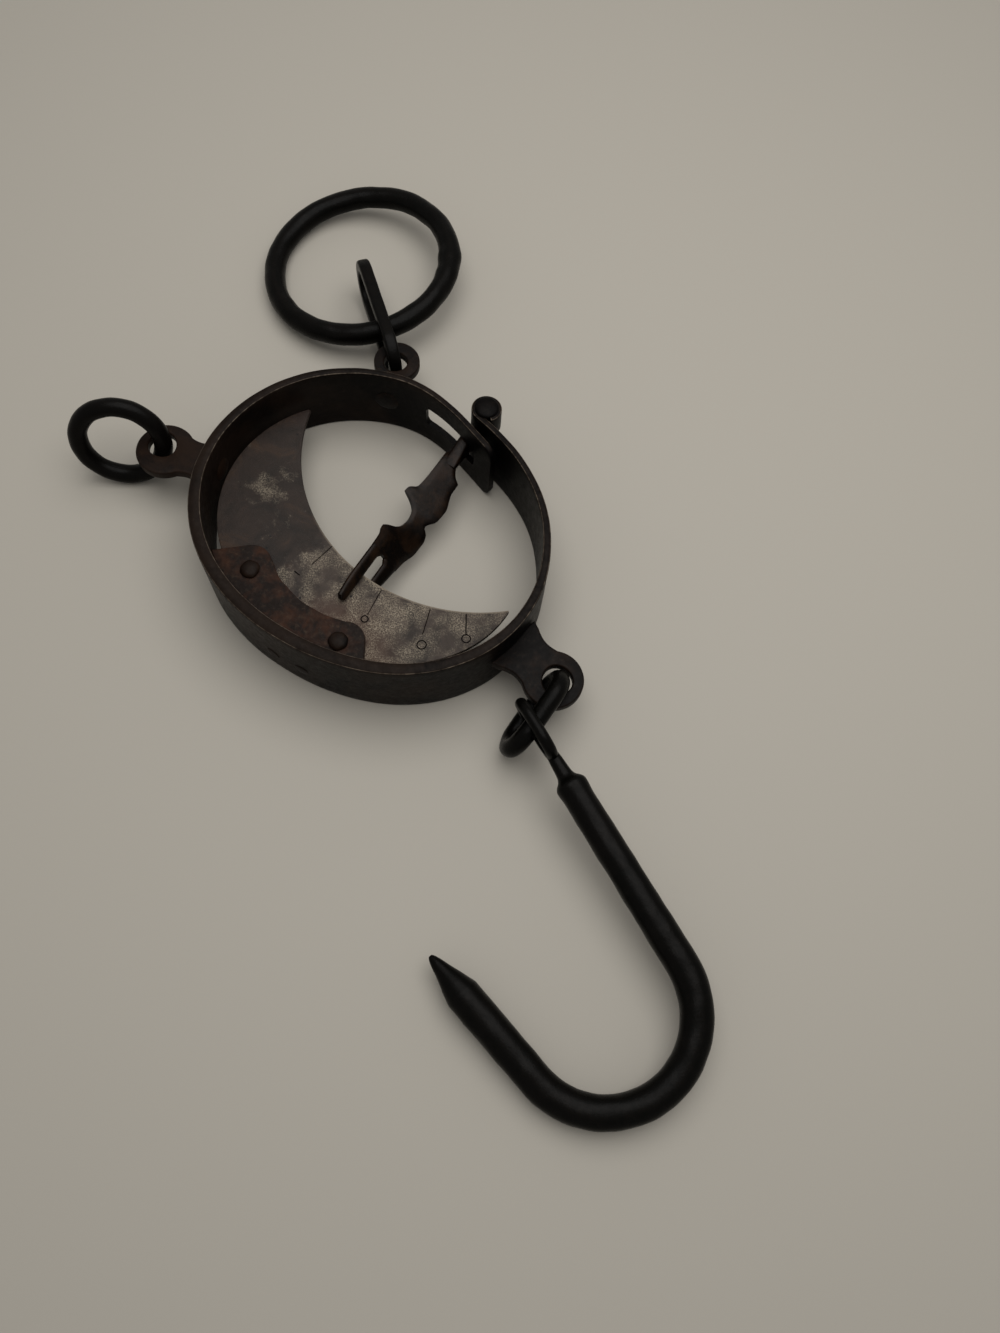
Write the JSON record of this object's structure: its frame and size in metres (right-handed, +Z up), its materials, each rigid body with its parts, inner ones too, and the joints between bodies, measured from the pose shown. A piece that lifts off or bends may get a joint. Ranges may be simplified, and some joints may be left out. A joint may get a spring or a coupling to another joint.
{
  "type": "hanging scale",
  "caption": "Wrought iron spring balance: a sprung hoop with a crescent scale plate and swinging pointer, hung from a ring on a link, with a linked load hook and a side ring.",
  "frame": {"origin": "centre of the object's outline on the table it lies on", "axes": "+Z up from the table and square to the hoop's flat, +Y towards the hanging ring, +X to the right as the scale plate is read"},
  "size_m": [0.264, 0.3758, 0.0376],
  "materials": {
    "spring_steel": "blackened forged spring steel, worn on its rims",
    "plate_steel": "bare sheet steel with pale worn speckles",
    "rusty_iron": "wrought iron with brown rust",
    "lug_iron": "wrought iron with a brown skin",
    "pointer_iron": "filed sheet iron gone brown",
    "ring_iron": "blackened wrought iron"
  },
  "bodies": {
    "hoop_and_plate": {"spring_hoop": "spring_steel", "scale_plate": "plate_steel", "bracket": "rusty_iron", "plate_rivet_left": "rusty_iron", "plate_rivet_right": "rusty_iron", "wall_rivet_left": "rusty_iron", "wall_rivet_right": "rusty_iron", "left_lug": "lug_iron", "top_lug": "lug_iron", "hook_lug": "lug_iron", "pivot_pin": "spring_steel"},
    "pointer": {"pointer": "pointer_iron"},
    "small_ring": {"small_ring": "ring_iron"},
    "top_link": {"top_link": "ring_iron"},
    "big_ring": {"big_ring": "ring_iron"},
    "hook_link": {"hook_link": "ring_iron"},
    "hook": {"hook": "ring_iron"}
  },
  "joints": [
    {"name": "pointer_swing", "type": "hinge", "parent": "hoop_and_plate", "child": "pointer", "pos_m": [0.02671, 0.06337, 0.016], "axis": [0, 0, 1], "range_deg": [-50, 6]},
    {"name": "small_ring_swivel", "type": "hinge", "parent": "hoop_and_plate", "child": "small_ring", "pos_m": [-0.09697, 0.03527, 0.016], "axis": [0.1284, 0.3367, 0.9328], "range_deg": [-145, 100]},
    {"name": "top_link_swing", "type": "hinge", "parent": "hoop_and_plate", "child": "top_link", "pos_m": [-0.01794, 0.0972, 0.01357], "axis": [0.9092, 0.4163, 0], "range_deg": [-70, 70]},
    {"name": "big_ring_flip", "type": "hinge", "parent": "top_link", "child": "big_ring", "pos_m": [-0.02334, 0.10898, 0.01251], "axis": [0.9077, 0.3971, 0.1357], "range_deg": [-85, 80]},
    {"name": "hook_link_swing", "type": "hinge", "parent": "hoop_and_plate", "child": "hook_link", "pos_m": [0.06366, -0.04667, 0.01513], "axis": [-0.862, 0.3832, 0.3319], "range_deg": [-80, 85]},
    {"name": "hook_swing", "type": "hinge", "parent": "hook_link", "child": "hook", "pos_m": [0.06045, -0.05882, 0.02081], "axis": [-0.4704, -0.8486, -0.2419], "range_deg": [-62, 125]}
  ]
}
